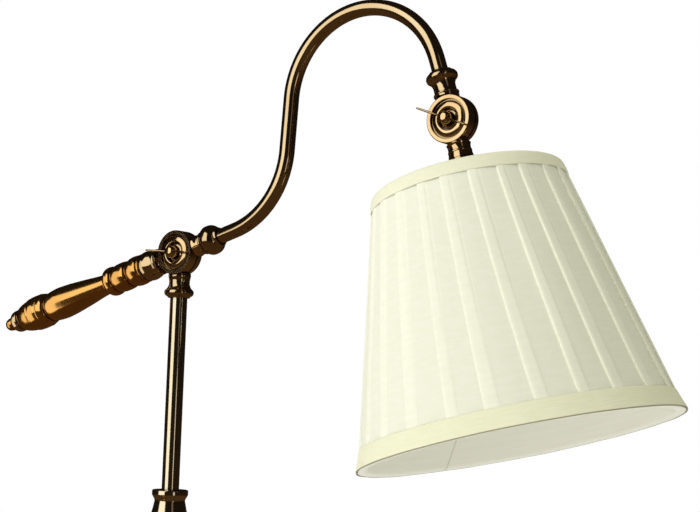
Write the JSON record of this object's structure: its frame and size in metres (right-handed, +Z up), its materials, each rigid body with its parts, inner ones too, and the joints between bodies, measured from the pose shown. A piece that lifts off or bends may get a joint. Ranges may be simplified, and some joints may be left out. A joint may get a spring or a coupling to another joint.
{
  "type": "pharmacy floor lamp",
  "caption": "Floor lamp with a weighted round base, telescoping pole, counterweighted swan-neck arm on wing-nut knuckles and a pleated cone shade.",
  "frame": {"origin": "centre of the felt face under the base, on the floor", "axes": "+Z up along the pole; +X towards the shade along the arm; the wing nuts face -Y"},
  "size_m": [0.7152, 0.27, 1.415],
  "materials": {
    "antique_brass": "satin",
    "polished_brass": "polished",
    "zinc_steel": "satin",
    "cast_iron": "matte",
    "felt": "matte",
    "black_nylon": "satin",
    "black_phenolic": "gloss",
    "lead_sleeve": "matte",
    "ceramic": "satin",
    "opal_glass": "gloss",
    "ivory_pleated_cloth": "matte",
    "band_cloth": "satin",
    "lining_cloth": "matte",
    "white_wire": "satin"
  },
  "bodies": {
    "stand": {"base_felt": "felt", "base_weight": "cast_iron", "base_cover": "antique_brass", "base_washer": "zinc_steel", "base_clamp_nut": "zinc_steel", "base_stem": "zinc_steel", "cord_inlet_bushing": "black_nylon", "lower_pole": "antique_brass", "pole_foot_plug": "zinc_steel", "foot_collar": "antique_brass", "vase_collar": "antique_brass", "vase_guide_bush": "black_nylon"},
    "height_lock": {"height_lock_screw": "polished_brass"},
    "upper_pole_body": {"upper_pole": "antique_brass", "pole_slide_sleeve": "black_nylon", "swivel_stud": "zinc_steel", "pole_lead": "lead_sleeve"},
    "pole_neck": {"pole_knuckle": "antique_brass", "elbow_washer": "black_nylon", "elbow_bolt": "polished_brass"},
    "elbow_nut": {"elbow_wing_nut": "polished_brass"},
    "arm": {"arm_knuckle": "antique_brass", "arm_collar": "antique_brass", "arm_tube": "antique_brass", "arm_lead": "lead_sleeve", "arm_end_knuckle": "antique_brass", "shade_joint_washer": "black_nylon", "shade_joint_bolt": "polished_brass", "handle_rod": "zinc_steel", "handle_ferrule": "antique_brass", "handle_ring": "antique_brass", "handle_barrel_inner": "antique_brass", "handle_barrel_outer": "antique_brass", "handle_disc": "antique_brass", "handle_grip": "antique_brass", "handle_cap": "antique_brass", "handle_button": "antique_brass", "handle_finial": "antique_brass"},
    "shade_nut": {"shade_wing_nut": "polished_brass"},
    "shade_holder": {"shade_knuckle": "antique_brass", "holder_bell": "antique_brass", "holder_nipple": "zinc_steel", "lamp_holder": "black_phenolic", "shade_ring_nut": "black_phenolic", "holder_core": "ceramic", "centre_contact": "polished_brass", "holder_screw_shell": "polished_brass", "bulb_cap": "zinc_steel", "bulb_glass": "opal_glass", "shade_cover": "ivory_pleated_cloth", "shade_top_band": "band_cloth", "shade_bottom_band": "band_cloth", "shade_lining": "lining_cloth", "shade_frame": "white_wire", "shade_spider": "white_wire"},
    "switch": {"switch_key": "antique_brass"}
  },
  "joints": [
    {"name": "height_slide", "type": "slide", "parent": "stand", "child": "upper_pole_body", "axis": [0, 0, 1], "range_m": [-0.165, 0.15]},
    {"name": "height_lock_turn", "type": "hinge", "parent": "stand", "child": "height_lock", "pos_m": [0, -0.03, 0.9376], "axis": [0, -1, 0], "range_deg": [0, 360]},
    {"name": "pole_swivel", "type": "hinge", "parent": "upper_pole_body", "child": "pole_neck", "pos_m": [0, 0, 1.16], "axis": [0, 0, 1], "range_deg": [-170, 170]},
    {"name": "elbow_tilt", "type": "hinge", "parent": "pole_neck", "child": "arm", "pos_m": [0, 0, 1.1986], "axis": [0, 1, 0], "range_deg": [-16, 42]},
    {"name": "elbow_nut_turn", "type": "hinge", "parent": "pole_neck", "child": "elbow_nut", "pos_m": [0, -0.015, 1.1986], "axis": [0, -1, 0], "range_deg": [0, 360]},
    {"name": "shade_tilt", "type": "hinge", "parent": "arm", "child": "shade_holder", "pos_m": [0.29229, 0, 1.30168], "axis": [0, -1, 0], "range_deg": [-45, 75]},
    {"name": "shade_nut_turn", "type": "hinge", "parent": "arm", "child": "shade_nut", "pos_m": [0.29229, -0.015, 1.30168], "axis": [0, -1, 0], "range_deg": [0, 360]},
    {"name": "switch_turn", "type": "hinge", "parent": "shade_holder", "child": "switch", "pos_m": [0.31663, -0.028, 1.20954], "axis": [0, -1, 0], "continuous": true}
  ]
}
